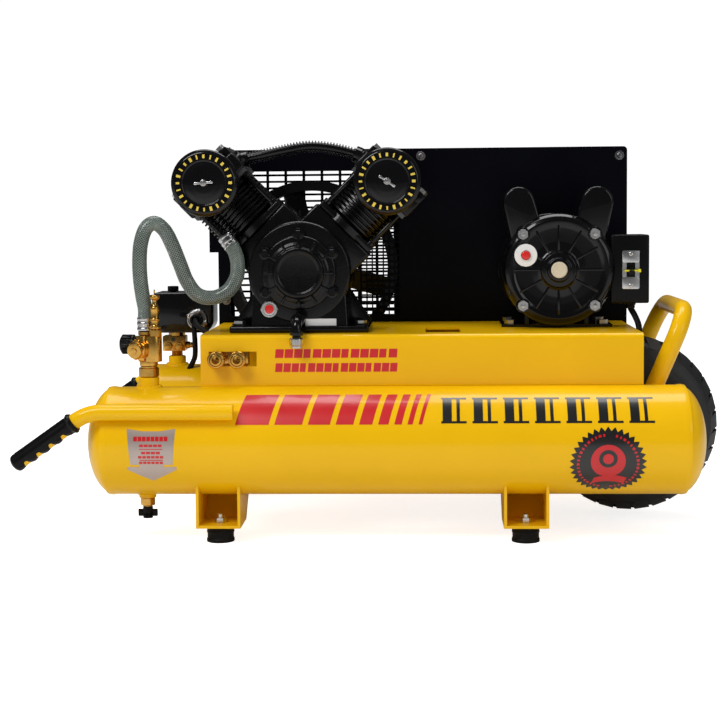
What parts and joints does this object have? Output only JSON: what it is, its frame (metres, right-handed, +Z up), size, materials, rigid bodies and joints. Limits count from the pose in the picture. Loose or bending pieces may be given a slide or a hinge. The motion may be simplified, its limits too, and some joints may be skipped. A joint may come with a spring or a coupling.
{
  "type": "air compressor",
  "caption": "Wheelbarrow air compressor with horizontal tanks, belt-driven V pump, electric motor, belt guard, barrow tyre and carrying handles.",
  "frame": {"origin": "on the floor under the centre of the bounding box", "axes": "+X along the tanks towards the wheel, +Y across them towards the belt guard, +Z up"},
  "size_m": [1.01, 0.5078, 0.5643],
  "materials": {
    "yellow_paint": "gloss",
    "black_paint": "semi-gloss",
    "guard_paint": "satin",
    "cast_iron": "satin paint",
    "bright_steel": "zinc plated",
    "dark_steel": "machined",
    "brass": "machined",
    "rubber": "matt",
    "tyre": "matt",
    "black_plastic": "satin",
    "grip_plastic": "satin",
    "red_plastic": "gloss",
    "white_plastic": "satin",
    "cap_plastic": "satin",
    "hose": "clear braided hose",
    "paper": "pleated paper"
  },
  "bodies": {
    "frame": {"front_tank": "yellow_paint", "rear_tank": "yellow_paint", "foot_brackets": "yellow_paint", "rubber_feet": "rubber", "fasteners": "bright_steel", "saddle": "yellow_paint", "handle_tubes": "yellow_paint", "grips": "grip_plastic", "lift_handle": "yellow_paint", "axle_brackets": "yellow_paint", "wheel_axle": "bright_steel", "crankcase": "cast_iron", "crankcase_cover": "cast_iron", "sight_bezel": "bright_steel", "sight_window": "red_plastic", "oil_drain": "black_paint", "oil_filler": "black_plastic", "bearings": "dark_steel", "con_rods": "dark_steel", "pistons": "dark_steel", "cylinders": "cast_iron", "valve_plates": "dark_steel", "heads": "cast_iron", "head_bolts": "bright_steel", "intercooler_tube": "black_paint", "filter_bodies": "black_paint", "filter_elements": "paper", "filter_covers": "black_paint", "wing_nuts": "bright_steel", "drive_belt": "rubber", "motor_shell": "black_paint", "end_bells": "black_paint", "stator": "dark_steel", "motor_base": "black_paint", "capacitor_covers": "black_paint", "shaft_cap": "cap_plastic", "reset_bezel": "white_plastic", "switch_box": "black_plastic", "switch_plate": "bright_steel", "guard_panel": "guard_paint", "guard_cover": "guard_paint", "pressure_switch": "black_plastic", "brass_fittings": "brass", "discharge_hose": "hose", "motor_lead": "rubber", "coupler_bodies": "brass"},
    "wheel": {"tyre": "tyre", "wheel_rim": "black_paint"},
    "crank": {"crankshaft": "dark_steel", "flywheel": "cast_iron"},
    "motor": {"rotor": "dark_steel", "motor_pulley": "cast_iron"},
    "toggle": {"toggle_lever": "black_plastic"},
    "reset": {"reset_button": "red_plastic"},
    "unload_knob": {"switch_knob": "black_plastic"},
    "regulator": {"regulator_knob": "black_plastic"},
    "left_sleeve": {"coupler_sleeve_left": "brass"},
    "right_sleeve": {"coupler_sleeve_right": "brass"},
    "front_drain": {"drain_knob_front": "black_plastic"},
    "rear_drain": {"drain_knob_rear": "black_plastic"}
  },
  "joints": [
    {"name": "wheel_spin", "type": "hinge", "parent": "frame", "child": "wheel", "pos_m": [0.374, 0, 0.141], "axis": [0, 1, 0], "continuous": true},
    {"name": "crank_spin", "type": "hinge", "parent": "frame", "child": "crank", "pos_m": [-0.11, 0, 0.373], "axis": [0, 1, 0], "continuous": true},
    {"name": "motor_spin", "type": "hinge", "parent": "frame", "child": "motor", "pos_m": [0.265, 0, 0.373], "axis": [0, 1, 0], "continuous": true},
    {"name": "toggle_tilt", "type": "hinge", "parent": "frame", "child": "toggle", "pos_m": [0.37, -0.059, 0.372], "axis": [1, 0, 0], "range_deg": [-24, 0]},
    {"name": "reset_press", "type": "slide", "parent": "frame", "child": "reset", "axis": [0, 1, 0], "range_m": [0, 0.003], "stiffness_N_per_m": 400},
    {"name": "unload_pull", "type": "slide", "parent": "frame", "child": "unload_knob", "axis": [0, 0, 1], "range_m": [0, 0.004]},
    {"name": "regulator_turn", "type": "hinge", "parent": "frame", "child": "regulator", "pos_m": [-0.35, -0.16, 0.2752], "axis": [1, 0, 0], "range_deg": [-135, 135]},
    {"name": "left_sleeve_slide", "type": "slide", "parent": "frame", "child": "left_sleeve", "axis": [0, 1, 0], "range_m": [0, 0.0045], "stiffness_N_per_m": 600},
    {"name": "right_sleeve_slide", "type": "slide", "parent": "frame", "child": "right_sleeve", "axis": [0, 1, 0], "range_m": [0, 0.0045], "stiffness_N_per_m": 600},
    {"name": "front_drain_turn", "type": "hinge", "parent": "frame", "child": "front_drain", "pos_m": [-0.325, -0.165, 0.04], "axis": [0, 0, 1], "range_deg": [0, 360]},
    {"name": "rear_drain_turn", "type": "hinge", "parent": "frame", "child": "rear_drain", "pos_m": [-0.325, 0.165, 0.04], "axis": [0, 0, 1], "range_deg": [0, 360]}
  ],
  "couplings": [
    {"joint": "motor_spin", "follows": "crank_spin", "ratio": 3.7042}
  ]
}
